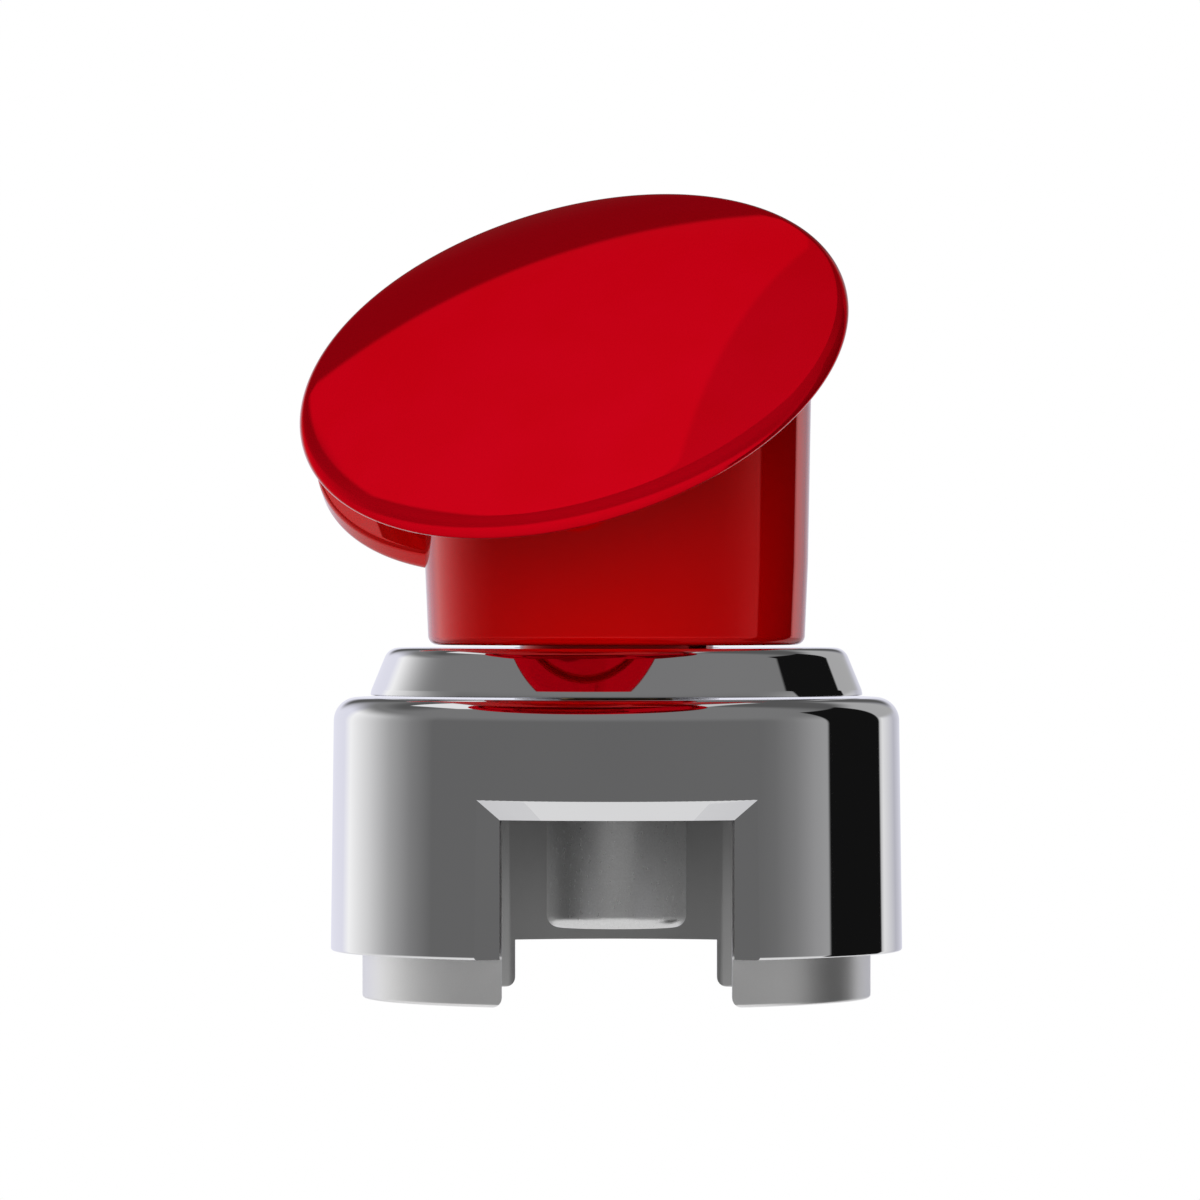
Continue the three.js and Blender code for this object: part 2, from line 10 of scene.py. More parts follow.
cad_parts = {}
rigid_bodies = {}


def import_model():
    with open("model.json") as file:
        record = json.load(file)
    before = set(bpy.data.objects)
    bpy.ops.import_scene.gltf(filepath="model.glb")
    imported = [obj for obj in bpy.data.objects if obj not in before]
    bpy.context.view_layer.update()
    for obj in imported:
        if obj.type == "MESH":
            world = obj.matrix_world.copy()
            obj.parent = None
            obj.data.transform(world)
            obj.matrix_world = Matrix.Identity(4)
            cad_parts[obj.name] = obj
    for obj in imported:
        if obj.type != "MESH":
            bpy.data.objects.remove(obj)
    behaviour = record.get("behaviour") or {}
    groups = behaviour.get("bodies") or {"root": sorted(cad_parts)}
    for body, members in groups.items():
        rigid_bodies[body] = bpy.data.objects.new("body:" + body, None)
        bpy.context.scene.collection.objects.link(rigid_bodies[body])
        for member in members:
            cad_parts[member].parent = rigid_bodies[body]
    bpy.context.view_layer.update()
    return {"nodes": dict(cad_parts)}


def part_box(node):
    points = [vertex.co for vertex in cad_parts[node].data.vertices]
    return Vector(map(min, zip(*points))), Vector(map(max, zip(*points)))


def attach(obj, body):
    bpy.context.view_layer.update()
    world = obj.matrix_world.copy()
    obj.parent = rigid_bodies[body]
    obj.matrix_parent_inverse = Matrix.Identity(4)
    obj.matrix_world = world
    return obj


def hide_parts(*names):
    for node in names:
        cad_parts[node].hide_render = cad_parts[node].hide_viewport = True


for leftover in list(bpy.data.objects):
    bpy.data.objects.remove(leftover)

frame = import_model()

MM = 0.001
BASE_DROP = 7.4
TURN_STEPS = 256
ARC_STEPS = 8
SHARP_ANGLE = math.radians(28)

# The press face's own frame: local Z leaves the disc, its origin is the rim's centre.
FACE_CENTRE = Vector((-4.55, -22.0, 66.56 - BASE_DROP)) * MM
FACE_YAW = math.radians(-24.1)
FACE_TILT = math.radians(37.7)
FACE_MATRIX = (
    Matrix.Translation(FACE_CENTRE)
    @ Matrix.Rotation(FACE_YAW, 4, "Z")
    @ Matrix.Rotation(FACE_TILT, 4, "X")
)
LEAN = (0.6963, -1.0105)


# ---------- node helpers ----------
class Nodes:
    """A short way to write node trees: values, colours or sockets can feed any input."""

    def __init__(self, tree):
        self.tree = tree
        tree.nodes.clear()

    def add(self, kind, **settings):
        node = self.tree.nodes.new(kind)
        for key, value in settings.items():
            setattr(node, key, value)
        return node

    def feed(self, node, name, value):
        socket = node.inputs[name]
        if isinstance(value, bpy.types.NodeSocket):
            self.tree.links.new(value, socket)
        else:
            socket.default_value = value

    def math(self, operation, first, second=0.0):
        node = self.add("ShaderNodeMath", operation=operation)
        self.feed(node, 0, first)
        self.feed(node, 1, second)
        return node.outputs[0]

    def step(self, value, start, end):
        """0 before start, 1 after end, smooth between; start may be above end."""
        node = self.add("ShaderNodeMapRange", interpolation_type="SMOOTHSTEP")
        self.feed(node, "Value", value)
        self.feed(node, "From Min", min(start, end))
        self.feed(node, "From Max", max(start, end))
        self.feed(node, "To Min", 0.0 if start < end else 1.0)
        self.feed(node, "To Max", 1.0 if start < end else 0.0)
        return node.outputs["Result"]

    def between(self, value, low, high, soft):
        rise = self.step(value, low - soft / 2, low + soft / 2)
        fall = self.step(value, high + soft / 2, high - soft / 2)
        return self.math("MULTIPLY", rise, fall)

    def blend(self, factor, first, second):
        node = self.add("ShaderNodeMix", data_type="RGBA")
        self.feed(node, 0, factor)
        self.feed(node, 6, first)
        self.feed(node, 7, second)
        return node.outputs[2]

    def noise(self, scale, detail=3.0, stretch=(1, 1, 1)):
        place = self.add("ShaderNodeTexCoord")
        mapping = self.add("ShaderNodeMapping")
        self.feed(mapping, "Vector", place.outputs["Object"])
        self.feed(mapping, "Scale", stretch)
        texture = self.add("ShaderNodeTexNoise")
        self.feed(texture, "Vector", mapping.outputs["Vector"])
        self.feed(texture, "Scale", scale)
        self.feed(texture, "Detail", detail)
        return texture.outputs["Fac"]

    def bump(self, height, strength, distance):
        node = self.add("ShaderNodeBump")
        self.feed(node, "Height", height)
        self.feed(node, "Strength", strength)
        self.feed(node, "Distance", distance)
        return node.outputs["Normal"]


def grey(value):
    return (value, value, value, 1.0)


def surface(name, base, metallic, roughness, normal=None, coat=None, **fixed):
    """A Principled material; extra arguments are set straight on the shader's own sockets."""
    material = bpy.data.materials.new(name)
    material.use_nodes = True
    nodes = Nodes(material.node_tree)
    shader = nodes.add("ShaderNodeBsdfPrincipled")
    shader.inputs["Metallic"].default_value = metallic
    for key, value in fixed.items():
        shader.inputs[key.replace("_", " ")].default_value = value
    nodes.feed(shader, "Base Color", base(nodes) if callable(base) else base)
    nodes.feed(shader, "Roughness", roughness(nodes) if callable(roughness) else roughness)
    if normal:
        nodes.feed(shader, "Normal", normal(nodes))
    if coat:
        nodes.feed(shader, "Coat Weight", coat(nodes))
    output = nodes.add("ShaderNodeOutputMaterial")
    nodes.tree.links.new(shader.outputs["BSDF"], output.inputs["Surface"])
    return material


# ---------- materials ----------
NOISE_LOW, NOISE_HIGH = 0.3, 0.7


def varied(low, high, scale, detail=3.0, stretch=(1, 1, 1)):
    """A number that drifts between low and high over the surface."""

    def build(nodes):
        noise = nodes.noise(scale, detail, stretch)
        node = nodes.add("ShaderNodeMapRange")
        nodes.feed(node, "Value", noise)
        nodes.feed(node, "From Min", NOISE_LOW)
        nodes.feed(node, "From Max", NOISE_HIGH)
        nodes.feed(node, "To Min", low)
        nodes.feed(node, "To Max", high)
        return node.outputs["Result"]

    return build


def tinted(first, second, scale):
    """A colour that drifts between two close tones."""

    def build(nodes):
        mask = nodes.step(nodes.noise(scale), NOISE_LOW, NOISE_HIGH)
        return nodes.blend(mask, (*first, 1.0), (*second, 1.0))

    return build


def edge_sheen(start, end):
    """Clear coat that only shows where the surface turns away from the eye."""

    def build(nodes):
        facing = nodes.add("ShaderNodeLayerWeight")
        return nodes.step(facing.outputs["Facing"], start, end)

    return build


def grain_and_painted_inner_shade(outer, inner, radius):
    """Fine-grained satin metal with painted shade: walls closer to the axis than the radius take a darker
    colour, standing in for the shade inside.
    """
    blur = 0.0002
    grain_share, grain_tone = 0.16, grey(0.6)

    def build(nodes):
        place = nodes.add("ShaderNodeTexCoord")
        split = nodes.add("ShaderNodeSeparateXYZ")
        nodes.feed(split, "Vector", place.outputs["Object"])
        x, y, _ = split.outputs
        square = nodes.math("ADD", nodes.math("MULTIPLY", x, x), nodes.math("MULTIPLY", y, y))
        mask = nodes.step(nodes.math("SQRT", square), radius - blur, radius + blur)
        grain = nodes.math("MULTIPLY", nodes.noise(5200), grain_share)
        # Painted shade: walls inside the radius take the darker inner colour, standing in for the shade deep
        # inside the cup.
        colour = nodes.blend(mask, (*inner, 1.0), (*outer, 1.0))
        return nodes.blend(grain, colour, grain_tone)

    return build


def grained(scale, strength, distance, detail=2.0, stretch=(1, 1, 1)):
    def build(nodes):
        return nodes.bump(nodes.noise(scale, detail, stretch), strength, distance)

    return build


def make_materials():
    return {
        "chrome": surface(
            "polished_chrome",
            tinted((0.86, 0.86, 0.87), (0.84, 0.84, 0.855), 60),
            1.0,
            varied(0.018, 0.035, 240),
            grained(90, 0.02, 0.00002),
        ),
        "satin": surface(
            "satin_steel",
            # The darker inner colour is painted shade on the cup's inner walls.
            grain_and_painted_inner_shade((0.93, 0.927, 0.925), (0.46, 0.46, 0.46), 0.0263),
            0.88,
            varied(0.31, 0.37, 4800),
            grained(6500, 0.3, 0.00003, 3),
        ),
        # A darker copy of the satin steel: its lower base colour is painted shade on the boss deep inside the
        # cup.
        "satin_boss_shaded": surface(
            "satin_boss_shaded",
            tinted((0.80, 0.80, 0.80), (0.74, 0.74, 0.74), 5200),
            0.93,
            varied(0.27, 0.32, 4800, 3.0, (1, 1, 0.3)),
            grained(6500, 0.3, 0.00003, 3),
        ),
        "red": surface(
            "red_lacquer",
            tinted((0.74, 0.001, 0.011), (0.72, 0.001, 0.009), 120),
            0.5,
            varied(0.022, 0.04, 200),
            grained(140, 0.015, 0.00002),
            Specular_IOR_Level=0.0,
            coat=edge_sheen(0.66, 0.84),
            Specular_Tint=(1.0, 0.5, 0.5, 1.0),
            Coat_Roughness=0.02,
            Coat_IOR=1.38,
        ),
        # A lighter copy of the red lacquer: the drum's brighter base colour is painted light on its front,
        # where the disc's overhang keeps off part of the front lamp.
        "red_drum_lit": surface(
            "red_lacquer_drum_lit",
            tinted((0.85, 0.0, 0.001), (0.83, 0.0, 0.0), 120),
            0.38,
            varied(0.022, 0.04, 200),
            grained(140, 0.015, 0.00002),
            Specular_IOR_Level=0.0,
            Coat_Weight=1.0,
            Coat_Roughness=0.02,
            Coat_IOR=1.25,
        ),
        "steel": surface(
            "plain_steel",
            tinted((0.55, 0.55, 0.56), (0.46, 0.46, 0.47), 500),
            1.0,
            varied(0.22, 0.38, 800),
            grained(2500, 0.2, 0.00003),
        ),
        "bronze": surface(
            "bearing_bronze",
            tinted((0.62, 0.42, 0.18), (0.50, 0.33, 0.14), 500),
            1.0,
            varied(0.28, 0.42, 900),
            grained(3500, 0.25, 0.00003),
        ),
        "sheet_brass": surface(
            "sounder_brass",
            tinted((0.80, 0.62, 0.26), (0.74, 0.55, 0.22), 400),
            1.0,
            varied(0.2, 0.3, 900),
            grained(2000, 0.15, 0.00002),
        ),
        "white_plastic": surface(
            "white_plastic",
            tinted((0.80, 0.80, 0.78), (0.76, 0.76, 0.74), 300),
            0.0,
            varied(0.4, 0.5, 900),
            grained(3000, 0.15, 0.00003),
        ),
        "black_plastic": surface(
            "black_plastic",
            tinted((0.018, 0.018, 0.02), (0.026, 0.026, 0.028), 500),
            0.0,
            varied(0.42, 0.56, 1500),
            grained(2600, 0.4, 0.00005),
        ),
        "rubber": surface(
            "black_rubber",
            tinted((0.014, 0.014, 0.014), (0.024, 0.023, 0.022), 600),
            0.0,
            varied(0.7, 0.85, 1200),
            grained(2200, 0.5, 0.00006),
        ),
        "board": surface(
            "green_board",
            tinted((0.01, 0.09, 0.035), (0.014, 0.12, 0.05), 900),
            0.0,
            varied(0.3, 0.42, 1500),
            grained(4000, 0.3, 0.00003, 2, (1, 3, 1)),
        ),
    }


MATERIALS = make_materials()


# ---------- geometry helpers ----------
def arc(centre, radius, start, end, steps=ARC_STEPS):
    """Profile points (radius, height) in millimetres on an arc, angles in degrees."""
    points = []
    for i in range(steps + 1):
        angle = math.radians(start + (end - start) * i / steps)
        points.append((centre[0] + radius * math.cos(angle), centre[1] + radius * math.sin(angle)))
    return points


def mesh_object(name, build, matrix=Matrix.Identity(4)):
    """A shaded mesh object made by a function that fills a bmesh in metres."""
    shape = bmesh.new()
    build(shape)
    bmesh.ops.remove_doubles(shape, verts=shape.verts, dist=1e-7)
    bmesh.ops.recalc_face_normals(shape, faces=shape.faces)
    mesh = bpy.data.meshes.new(name)
    shape.to_mesh(mesh)
    shape.free()
    mesh.transform(matrix)
    piece = bpy.data.objects.new(name, mesh)
    bpy.context.scene.collection.objects.link(piece)
    return piece


def supported(profile):
    """The profile with a short step beside each fillet on its long straight runs, so they shade flat."""
    long_run, step = 0.8, 0.05
    points = [Vector(point) for point in profile]
    result = [points[0]]
    for i, (start, end) in enumerate(zip(points, points[1:])):
        run = end - start
        if run.length > long_run:
            nudge = run * (step / run.length)
            if i > 0 and (start - points[i - 1]).length < run.length / 3:
                result.append(start + nudge)
            if i + 2 < len(points) and (points[i + 2] - end).length < run.length / 3:
                result.append(end - nudge)
        result.append(end)
    return result


def turned(name, profile, steps=TURN_STEPS, matrix=Matrix.Identity(4), centre=(0, 0), lean=(0, 0)):
    """A turned solid; centre moves the axis sideways and lean shears it with height."""

    def build(shape):
        rings = []
        for radius, height in supported(profile):
            x0 = centre[0] + lean[0] * height
            y0 = centre[1] + lean[1] * height
            if radius < 1e-6:
                rings.append([shape.verts.new(Vector((x0, y0, height)) * MM)])
                continue
            ring = []
            for i in range(steps):
                angle = 2 * math.pi * i / steps
                place = Vector((x0 + radius * math.cos(angle), y0 + radius * math.sin(angle), height))
                ring.append(shape.verts.new(place * MM))
            rings.append(ring)
        closed = len(rings[0]) > 1 and len(rings[-1]) > 1
        pairs = list(zip(rings, rings[1:])) + ([(rings[-1], rings[0])] if closed else [])
        for low, high in pairs:
            for i in range(steps):
                j = (i + 1) % steps
                corners = [low[i % len(low)], low[j % len(low)], high[j % len(high)], high[i % len(high)]]
                corners = list(dict.fromkeys(corners))
                if len(corners) > 2:
                    shape.faces.new(corners)

    return mesh_object(name, build, matrix)


def prism(name, outline, low, high, matrix=Matrix.Identity(4)):
    """An outline in the local XY plane, in millimetres, pulled from low to high."""

    def build(shape):
        bottom = [shape.verts.new(Vector((x, y, low)) * MM) for x, y in outline]
        top = [shape.verts.new(Vector((x, y, high)) * MM) for x, y in outline]
        count = len(outline)
        shape.faces.new(list(reversed(bottom)))
        shape.faces.new(top)
        for i in range(count):
            j = (i + 1) % count
            shape.faces.new([bottom[i], bottom[j], top[j], top[i]])

    return mesh_object(name, build, matrix)


def combine(target, tool, operation):
    """Joins the tool to the target or cuts it away, and removes the tool."""
    modifier = target.modifiers.new("combine", "BOOLEAN")
    modifier.operation = operation
    modifier.solver = "EXACT"
    modifier.object = tool
    bpy.context.view_layer.update()
    shaped = target.evaluated_get(bpy.context.evaluated_depsgraph_get())
    mesh = bpy.data.meshes.new_from_object(shaped)
    old = target.data
    target.modifiers.clear()
    target.data = mesh
    mesh.name = target.name
    bpy.data.meshes.remove(old)
    bpy.data.objects.remove(tool)
    return target


def finish_piece(piece, look, body, *nodes):
    """Shades a piece, gives it its material and puts it on its body in place of its CAD nodes."""
    piece.data.shade_smooth()
    piece.data.set_sharp_from_angle(angle=SHARP_ANGLE)
    piece.data.materials.clear()
    piece.data.materials.append(MATERIALS[look])
    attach(piece, body)
    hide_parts(*nodes)


def lowered(profile):
    """Base and drum heights count from the leg ends, and the CAD frame's origin lies on the boss."""
    return [(radius, height - BASE_DROP) for radius, height in profile]


def rounded_box(radius_in, radius_out, low, high, edge):
    """Profile of a ring with small rounded edges."""
    return [
        *arc((radius_in + edge, low + edge), edge, 180, 270, 3),
        *arc((radius_out - edge, low + edge), edge, -90, 0, 3),
        *arc((radius_out - edge, high - edge), edge, 0, 90, 3),
        *arc((radius_in + edge, high - edge), edge, 90, 180, 3),
    ]


# ---------- base ----------
SKIRT_FOOT, SKIRT_TOP, SKIRT_FILLET = 5.0, 31.8, 2.5
SKIRT_FOOT_RADIUS, SKIRT_RADIUS, SKIRT_BORE, SKIRT_CEILING = 30.3, 30.0, 27.3, 28.9
WINDOW_HALF, WINDOW_TOP, WINDOW_LAND_RADIUS = 12.1, 19.4, 28.1
WINDOW_FLARE_WIDE, WINDOW_FLARE_HIGH = 2.15, 1.9
CENTRE_BORE = 6.3
COLLAR_FOOT, COLLAR_STEP, COLLAR_TOP, COLLAR_FILLET = 32.0, 32.6, 37.05, 1.6
COLLAR_FOOT_RADIUS, COLLAR_RADIUS, COLLAR_BORE, COLLAR_SLOPE = 26.1, 26.0, 10.9, 22.4
CUP_RADIUS, CUP_BORE, CUP_CEILING, CUP_TOP = 26.95, 25.35, 26.6, 28.6
LEG_CORNER = 1.0
FRONT_GAP_HALF, FRONT_GAP_TOP = 11.9, 23.0
BACK_GAP_HALF, BACK_GAP_TOP = 11.0, 5.1
BOSS_FOOT, BOSS_RADIUS, BOSS_EDGE, BOSS_FLOOR = 7.4, 7.4, 1.3, 9.4
BOSS_FLANGE_FOOT, BOSS_FLANGE_RADIUS, BOSS_TOP = 24.6, 11.5, 26.3
BALLAST_BORE, BALLAST_RADIUS, BALLAST_FOOT, BALLAST_TOP = 12.4, 19.6, 22.6, 26.3
BASE_SCREW_HEAD, BASE_SCREW_SHANK = 2.0, 1.2
BASE_SCREW_FOOT, BASE_SCREW_SEAT, BASE_SCREW_TOP = 24.5, 26.3, 31.2


def window_cutter():
    """The front window widens from the land radius outwards, which leaves its mitred bevel."""
    reach = 6.0
    outer_radius = SKIRT_RADIUS + reach
    spread = (outer_radius - WINDOW_LAND_RADIUS) / (SKIRT_RADIUS - WINDOW_LAND_RADIUS)
    outer_half = WINDOW_HALF + spread * WINDOW_FLARE_WIDE
    outer_top = WINDOW_TOP + spread * WINDOW_FLARE_HIGH
    levels = [
        (SKIRT_BORE - 5, WINDOW_HALF, WINDOW_TOP),
        (WINDOW_LAND_RADIUS, WINDOW_HALF, WINDOW_TOP),
        (outer_radius, outer_half, outer_top),
    ]
    columns = 40
    foot = SKIRT_FOOT - 2

    def build(shape):
        grids = []
        for radius, half, top in levels:
            rows = []
            for height in (foot, top):
                row = []
                for i in range(columns + 1):
                    x = half * (2 * i / columns - 1)
                    place = Vector((x, -math.sqrt(radius**2 - x**2), height - BASE_DROP))
                    row.append(shape.verts.new(place * MM))
                rows.append(row)
            grids.append(rows)
        inner, outer = grids[0], grids[-1]
        for i in range(columns):
            shape.faces.new([inner[0][i], inner[0][i + 1], inner[1][i + 1], inner[1][i]])
            shape.faces.new([outer[0][i], outer[1][i], outer[1][i + 1], outer[0][i + 1]])
            for near, far in zip(grids, grids[1:]):
                for side in (0, 1):
                    shape.faces.new([near[side][i], near[side][i + 1], far[side][i + 1], far[side][i]])
        for near, far in zip(grids, grids[1:]):
            for end in (0, columns):
                shape.faces.new([near[0][end], far[0][end], far[1][end], near[1][end]])

    return mesh_object("window_cutter", build)


def make_skirt():
    lip = 0.25
    profile = [
        (SKIRT_BORE, SKIRT_FOOT + lip),
        (SKIRT_BORE + lip, SKIRT_FOOT),
        *arc((SKIRT_FOOT_RADIUS - lip, SKIRT_FOOT + lip), lip, -90, 0, 3),
        *arc((SKIRT_RADIUS - SKIRT_FILLET, SKIRT_TOP - SKIRT_FILLET), SKIRT_FILLET, 0, 90, 16),
        (CENTRE_BORE, SKIRT_TOP),
        (CENTRE_BORE, SKIRT_CEILING),
        (SKIRT_BORE, SKIRT_CEILING),
    ]
    skirt = turned("bell_skirt_shell", lowered(profile), 360)
    combine(skirt, window_cutter(), "DIFFERENCE")
    finish_piece(skirt, "chrome", "base", "bell_skirt")


def make_collar():
    centre_height = COLLAR_TOP - COLLAR_FILLET
    wall = COLLAR_RADIUS - (centre_height - COLLAR_STEP) * math.tan(math.radians(COLLAR_SLOPE))
    centre_radius = wall - COLLAR_FILLET / math.cos(math.radians(COLLAR_SLOPE))
    profile = [
        (COLLAR_BORE, COLLAR_FOOT),
        (COLLAR_RADIUS, COLLAR_FOOT),
        (COLLAR_FOOT_RADIUS, COLLAR_FOOT + 0.1),
        (COLLAR_RADIUS, COLLAR_STEP),
        *arc((centre_radius, centre_height), COLLAR_FILLET, COLLAR_SLOPE, 90, 12),
        (COLLAR_BORE, COLLAR_TOP),
    ]
    finish_piece(turned("collar_cone", lowered(profile), 360), "chrome", "base", "collar_ring")


def leg_gap_outline(half_width, top):
    """Outline of a gap between legs, with the leg ends rounded at its mouth; x across, y up."""
    outer = half_width + LEG_CORNER
    right = [(outer, -2.0), *arc((outer, LEG_CORNER), LEG_CORNER, -90, -180, 6), (half_width, top)]
    left = [(-x, y) for x, y in reversed(right)]
    return right + left


def cut_along_y(piece, name, outline, start, end):
    upright = Matrix.Rotation(math.pi / 2, 4, "X")
    lowered_outline = [(x, y - BASE_DROP) for x, y in outline]
    tool = prism(name, lowered_outline, -end, -start, upright)
    return combine(piece, tool, "DIFFERENCE")


def make_cup():
    profile = [
        *arc((CUP_BORE + 0.2, 0.2), 0.2, 180, 270, 3),
        *arc((CUP_RADIUS - 0.3, 0.3), 0.3, -90, 0, 4),
        (CUP_RADIUS, CUP_TOP),
        (CENTRE_BORE, CUP_TOP),
        (CENTRE_BORE, CUP_CEILING),
        (CUP_BORE, CUP_CEILING),
    ]
    cup = turned("mount_cup_shell", lowered(profile), 300)
    cut_along_y(cup, "front_gap", leg_gap_outline(FRONT_GAP_HALF, FRONT_GAP_TOP), -30, -12)
    cut_along_y(cup, "back_gap", leg_gap_outline(BACK_GAP_HALF, BACK_GAP_TOP), 12, 30)
    finish_piece(cup, "satin", "base", "mount_cup")


def make_boss():
    neck = 0.3
    profile = [
        (0, BOSS_FOOT),
        *arc((BOSS_RADIUS - BOSS_EDGE, BOSS_FOOT + BOSS_EDGE), BOSS_EDGE, -90, 0, 10),
        (BOSS_RADIUS, BOSS_FLANGE_FOOT - neck),
        *arc((BOSS_RADIUS + neck, BOSS_FLANGE_FOOT - neck), neck, 180, 90, 4),
        (BOSS_FLANGE_RADIUS - 0.2, BOSS_FLANGE_FOOT),
        (BOSS_FLANGE_RADIUS, BOSS_FLANGE_FOOT + 0.2),
        (BOSS_FLANGE_RADIUS, BOSS_TOP),
        (CENTRE_BORE, BOSS_TOP),
        (CENTRE_BORE, BOSS_FLOOR),
        (0, BOSS_FLOOR),
    ]
    finish_piece(turned("centre_boss_turned", lowered(profile), 160), "satin_boss_shaded", "base", "centre_boss")


def make_ballast():
    profile = rounded_box(BALLAST_BORE, BALLAST_RADIUS, BALLAST_FOOT, BALLAST_TOP, 0.35)
    finish_piece(turned("ballast_ring_turned", lowered(profile), 160), "steel", "base", "ballast_ring")


def make_base_screws():
    recess_radius, recess_depth, edge, tip = 1.0, 0.9, 0.4, 0.3
    profile = [
        (0, BASE_SCREW_FOOT + recess_depth),
        (recess_radius, BASE_SCREW_FOOT + recess_depth),
        (recess_radius, BASE_SCREW_FOOT),
        *arc((BASE_SCREW_HEAD - edge, BASE_SCREW_FOOT + edge), edge, -90, 0, 4),
        (BASE_SCREW_HEAD, BASE_SCREW_SEAT),
        (BASE_SCREW_SHANK, BASE_SCREW_SEAT),
        (BASE_SCREW_SHANK, BASE_SCREW_TOP - tip),
        (BASE_SCREW_SHANK - tip, BASE_SCREW_TOP),
        (0, BASE_SCREW_TOP),
    ]
    for number in (1, 2, 3):
        low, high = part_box(f"base_screw_{number}")
        centre = (low + high) / 2 / MM
        screw = turned(f"base_screw_head_{number}", lowered(profile), 48, centre=(centre.x, centre.y))
        finish_piece(screw, "steel", "base", f"base_screw_{number}")


# ---------- head ----------
WAIST_RADIUS, WAIST_TOP, WAIST_FOOT = 23.0, -8.2, -23.6
FLANGE_RADIUS, FLANGE_TOP, FLANGE_FOOT = 27.2, -23.4, -26.2
DOOR_CENTRE, DOOR_HOLE, DOOR_RADIUS, DOOR_TOP = (-21.1, 31.9), 9.0, 8.7, -23.8
DOOR_SLOT_LENGTH, DOOR_SLOT_WIDTH, DOOR_SLOT_DEPTH = 9.0, 1.6, 0.9
DRUM_HUB_RADIUS, DRUM_HUB_FOOT, DRUM_FOOT, DRUM_FOOT_RADIUS, DRUM_EDGE = 10.3, 35.5, 37.35, 20.0, 1.0
DRUM_MID_RADIUS, DRUM_MID, DRUM_TOP_RADIUS, DRUM_TOP = 20.33, 46.0, 20.7, 66.0
SEAT_FOOT, SEAT_TOP, SEAT_HOLE = -8.0, -6.0, 5.9
BUSH_BORE, BUSH_RADIUS, BUSH_FLANGE_RADIUS = 3.08, 5.6, 8.0
BUSH_FOOT, BUSH_FLANGE_FOOT, BUSH_TOP = -11.0, -5.8, -5.3
BUMPER_BORE, BUMPER_RADIUS, BUMPER_FOOT, BUMPER_TOP = 9.4, 12.4, -5.8, -2.3
SEAT_SCREW_CIRCLE, SEAT_SCREW_START = 19.4, 35.0
SEAT_SCREW_HEAD, SEAT_SCREW_SHANK = 1.9, 0.9
SEAT_SCREW_FOOT, SEAT_SCREW_SEAT, SEAT_SCREW_TOP = -11.2, -5.8, -5.0


def leaned_centre(level):
    """Where the leaning waist's axis crosses a level of the face frame."""
    return Vector((LEAN[0] * level, LEAN[1] * level))


def face_block(level):
    """Everything below a plane parallel to the press face."""
    reach = 60.0
    outline = [(-reach, -reach), (reach, -reach), (reach, reach), (-reach, reach)]
    return prism("face_block", outline, level - 2 * reach, level, FACE_MATRIX)


def make_head_shell():
    profile = [
        (0, DRUM_HUB_FOOT),
        (DRUM_HUB_RADIUS - 0.3, DRUM_HUB_FOOT),
        (DRUM_HUB_RADIUS, DRUM_HUB_FOOT + 0.3),
        (DRUM_HUB_RADIUS, DRUM_FOOT),
        *arc((DRUM_FOOT_RADIUS - DRUM_EDGE, DRUM_FOOT + DRUM_EDGE), DRUM_EDGE, -90, 0, 12),
        (DRUM_MID_RADIUS, DRUM_MID),
        (DRUM_TOP_RADIUS, DRUM_TOP),
        (0, DRUM_TOP),
    ]
    shell = turned("head_shell_body", lowered(profile), 360)
    combine(shell, face_block(WAIST_TOP), "INTERSECT")
    waist_profile = [(0, WAIST_FOOT), (WAIST_RADIUS, WAIST_FOOT), (WAIST_RADIUS, WAIST_TOP), (0, WAIST_TOP)]
    combine(shell, turned("waist", waist_profile, 300, FACE_MATRIX, lean=LEAN), "UNION")
    lower_edge, upper_edge = 1.1, 0.5
    flange_profile = [
        (0, FLANGE_FOOT),
        *arc((FLANGE_RADIUS - lower_edge, FLANGE_FOOT + lower_edge), lower_edge, -90, 0, 10),
        *arc((FLANGE_RADIUS - upper_edge, FLANGE_TOP - upper_edge), upper_edge, 0, 90, 6),
        (0, FLANGE_TOP),
    ]
    centre = leaned_centre((FLANGE_TOP + FLANGE_FOOT) / 2)
    combine(shell, turned("flange", flange_profile, 360, FACE_MATRIX, centre), "UNION")
    low, high = FLANGE_FOOT - 1, FLANGE_FOOT + 2.6
    door_seat = [(0, low), (DOOR_HOLE, low), (DOOR_HOLE, high), (0, high)]
    combine(shell, turned("door_seat", door_seat, 120, FACE_MATRIX, DOOR_CENTRE), "DIFFERENCE")
    finish_piece(shell, "red_drum_lit", "head", "head_shell")


def make_seat_plate():
    profile = rounded_box(SEAT_HOLE, WAIST_RADIUS, SEAT_FOOT, SEAT_TOP, 0.35)
    plate = turned("seat_plate_turned", profile, 300, FACE_MATRIX, leaned_centre(SEAT_FOOT))
    finish_piece(plate, "red", "head", "seat_plate")


def make_stem_bush():
    edge = 0.15
    rim = BUSH_FLANGE_RADIUS - edge
    foot_mouth, top_mouth = 3.3, 3.4
    profile = [
        (BUSH_BORE, BUSH_FOOT + 0.2),
        (foot_mouth, BUSH_FOOT),
        (BUSH_RADIUS, BUSH_FOOT),
        (BUSH_RADIUS, BUSH_FLANGE_FOOT),
        *arc((rim, BUSH_FLANGE_FOOT + edge), edge, -90, 0, 3),
        *arc((rim, BUSH_TOP - edge), edge, 0, 90, 3),
        (top_mouth, BUSH_TOP),
        (BUSH_BORE, BUSH_TOP - 0.3),
    ]
    finish_piece(turned("stem_bush_turned", profile, 120, FACE_MATRIX), "bronze", "head", "stem_bush")


def make_bumper():
    profile = rounded_box(BUMPER_BORE, BUMPER_RADIUS, BUMPER_FOOT, BUMPER_TOP, 1.2)
    finish_piece(turned("bumper_ring_moulded", profile, 160, FACE_MATRIX), "rubber", "head", "bumper_ring")


